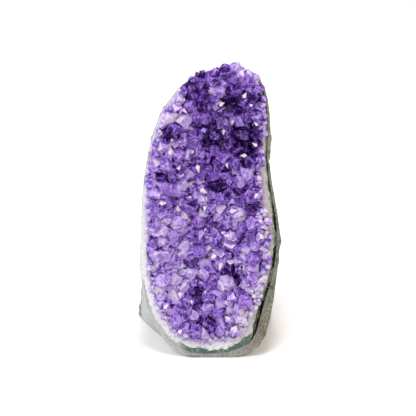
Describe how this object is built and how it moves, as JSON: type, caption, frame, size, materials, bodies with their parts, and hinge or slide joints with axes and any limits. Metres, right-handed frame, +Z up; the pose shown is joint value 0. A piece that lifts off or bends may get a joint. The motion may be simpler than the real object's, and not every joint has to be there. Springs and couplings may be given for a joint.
{
  "type": "amethyst geode",
  "caption": "Standing amethyst geode: a basalt nodule sawn flat below to stand and sawn open in front, lined with white quartz and filled with amethyst points.",
  "frame": {"origin": "on the sawn base, under the middle of the stone", "axes": "+Z up along the stone's height, the open crystal face looks towards -Y, +X to the right as seen from the front"},
  "size_m": [0.1053, 0.0938, 0.2039],
  "materials": {
    "basalt": "ground and waxed basalt, grey to olive grey",
    "celadonite": "dark green clay mineral, sawn flat, with open cracks",
    "white_quartz": "milky quartz, sawn and polished",
    "amethyst_druse": "small natural amethyst crystal faces, glassy",
    "amethyst": "natural amethyst crystal faces, glassy and partly clear"
  },
  "bodies": {
    "root": {"basalt_host": "basalt", "celadonite_seam": "celadonite", "crystal_01": "amethyst", "crystal_02": "amethyst", "crystal_03": "amethyst", "crystal_04": "amethyst", "crystal_05": "amethyst", "crystal_06": "amethyst", "crystal_07": "amethyst", "crystal_08": "amethyst", "crystal_09": "amethyst", "crystal_10": "amethyst", "crystal_11": "amethyst", "crystal_12": "amethyst", "crystal_13": "amethyst", "crystal_14": "amethyst", "crystal_15": "amethyst", "crystal_16": "amethyst", "crystal_17": "amethyst", "crystal_18": "amethyst", "crystal_19": "amethyst", "crystal_20": "amethyst", "crystal_21": "amethyst", "crystal_22": "amethyst", "crystal_23": "amethyst", "crystal_24": "amethyst", "crystal_25": "amethyst", "crystal_26": "amethyst", "crystal_27": "amethyst", "crystal_28": "amethyst", "crystal_29": "amethyst", "crystal_30": "amethyst", "crystal_31": "amethyst", "crystal_32": "amethyst", "crystal_33": "amethyst", "crystal_34": "amethyst", "crystal_35": "amethyst", "crystal_36": "amethyst", "crystal_37": "amethyst", "crystal_38": "amethyst", "crystal_39": "amethyst", "crystal_40": "amethyst", "crystal_41": "amethyst", "crystal_42": "amethyst", "crystal_43": "amethyst", "crystal_44": "amethyst", "crystal_45": "amethyst", "crystal_46": "amethyst", "crystal_47": "amethyst", "crystal_48": "amethyst", "crystal_49": "amethyst", "crystal_50": "amethyst", "crystal_51": "amethyst", "crystal_52": "amethyst", "crystal_53": "amethyst", "crystal_54": "amethyst", "crystal_55": "amethyst", "crystal_bed": "amethyst_druse", "quartz_lining": "white_quartz"}
  },
  "joints": []
}
